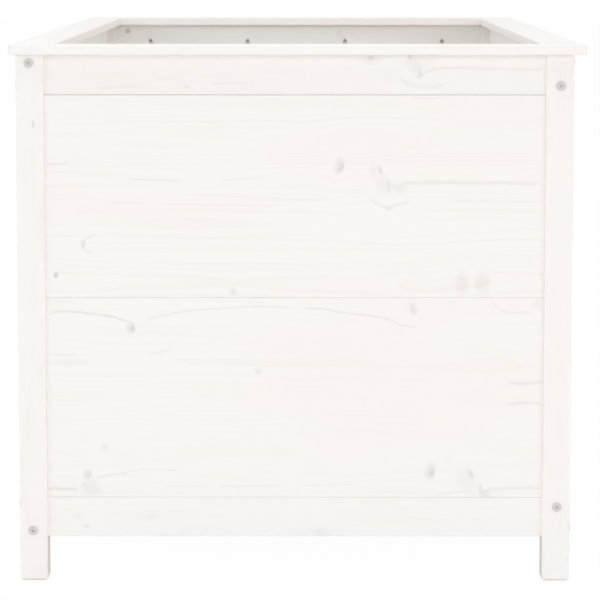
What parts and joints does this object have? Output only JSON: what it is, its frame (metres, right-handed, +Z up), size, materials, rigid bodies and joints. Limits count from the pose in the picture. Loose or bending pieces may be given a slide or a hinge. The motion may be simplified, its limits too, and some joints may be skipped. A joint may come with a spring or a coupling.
{
  "type": "raised garden bed",
  "caption": "Free-standing raised garden bed on short legs: framed walls of wide tongued boards, mitred flat rim and slatted drainage floor.",
  "frame": {"origin": "on the ground, under the middle of the rim", "axes": "+Z up, +Y along the bed from the end shown in the picture to the far end, +X to the right"},
  "size_m": [0.825, 1.595, 0.78],
  "materials": {
    "whitewashed_pine": "thin white wood stain, matt",
    "bare_dowel": "bare beech",
    "zinc_bolt": "zinc plated",
    "zinc_nut": "zinc plated",
    "zinc_screw": "zinc plated"
  },
  "bodies": {
    "root": {"post_front_left": "whitewashed_pine", "post_front_right": "whitewashed_pine", "post_back_left": "whitewashed_pine", "post_back_right": "whitewashed_pine", "front_top_rail": "whitewashed_pine", "right_top_rail": "whitewashed_pine", "back_top_rail": "whitewashed_pine", "left_top_rail": "whitewashed_pine", "front_bottom_rail": "whitewashed_pine", "right_bottom_rail": "whitewashed_pine", "back_bottom_rail": "whitewashed_pine", "left_bottom_rail": "whitewashed_pine", "front_board_upper": "whitewashed_pine", "front_board_lower": "whitewashed_pine", "back_board_upper": "whitewashed_pine", "back_board_lower": "whitewashed_pine", "right_front_board_upper": "whitewashed_pine", "right_front_board_lower": "whitewashed_pine", "right_back_board_upper": "whitewashed_pine", "right_back_board_lower": "whitewashed_pine", "left_front_board_upper": "whitewashed_pine", "left_front_board_lower": "whitewashed_pine", "left_back_board_upper": "whitewashed_pine", "left_back_board_lower": "whitewashed_pine", "right_centre_stile": "whitewashed_pine", "left_centre_stile": "whitewashed_pine", "rim_front": "whitewashed_pine", "rim_right": "whitewashed_pine", "rim_back": "whitewashed_pine", "rim_left": "whitewashed_pine", "front_floor_batten": "whitewashed_pine", "right_floor_batten": "whitewashed_pine", "back_floor_batten": "whitewashed_pine", "left_floor_batten": "whitewashed_pine", "long_bearer": "whitewashed_pine", "cross_bearer": "whitewashed_pine", "floor_slat_1": "whitewashed_pine", "floor_slat_2": "whitewashed_pine", "floor_slat_3": "whitewashed_pine", "floor_slat_4": "whitewashed_pine", "floor_slat_5": "whitewashed_pine", "floor_slat_6": "whitewashed_pine", "floor_slat_7": "whitewashed_pine", "floor_slat_8": "whitewashed_pine", "floor_slat_9": "whitewashed_pine", "floor_slat_10": "whitewashed_pine", "floor_slat_11": "whitewashed_pine", "floor_slat_12": "whitewashed_pine", "rail_bolts": "zinc_bolt", "barrel_nuts": "zinc_nut", "rail_dowels": "bare_dowel", "rim_screws": "zinc_screw", "mitre_dowels": "bare_dowel", "stile_screws": "zinc_screw", "batten_screws": "zinc_screw", "bearer_screws": "zinc_screw", "slat_screws": "zinc_screw"}
  },
  "joints": []
}
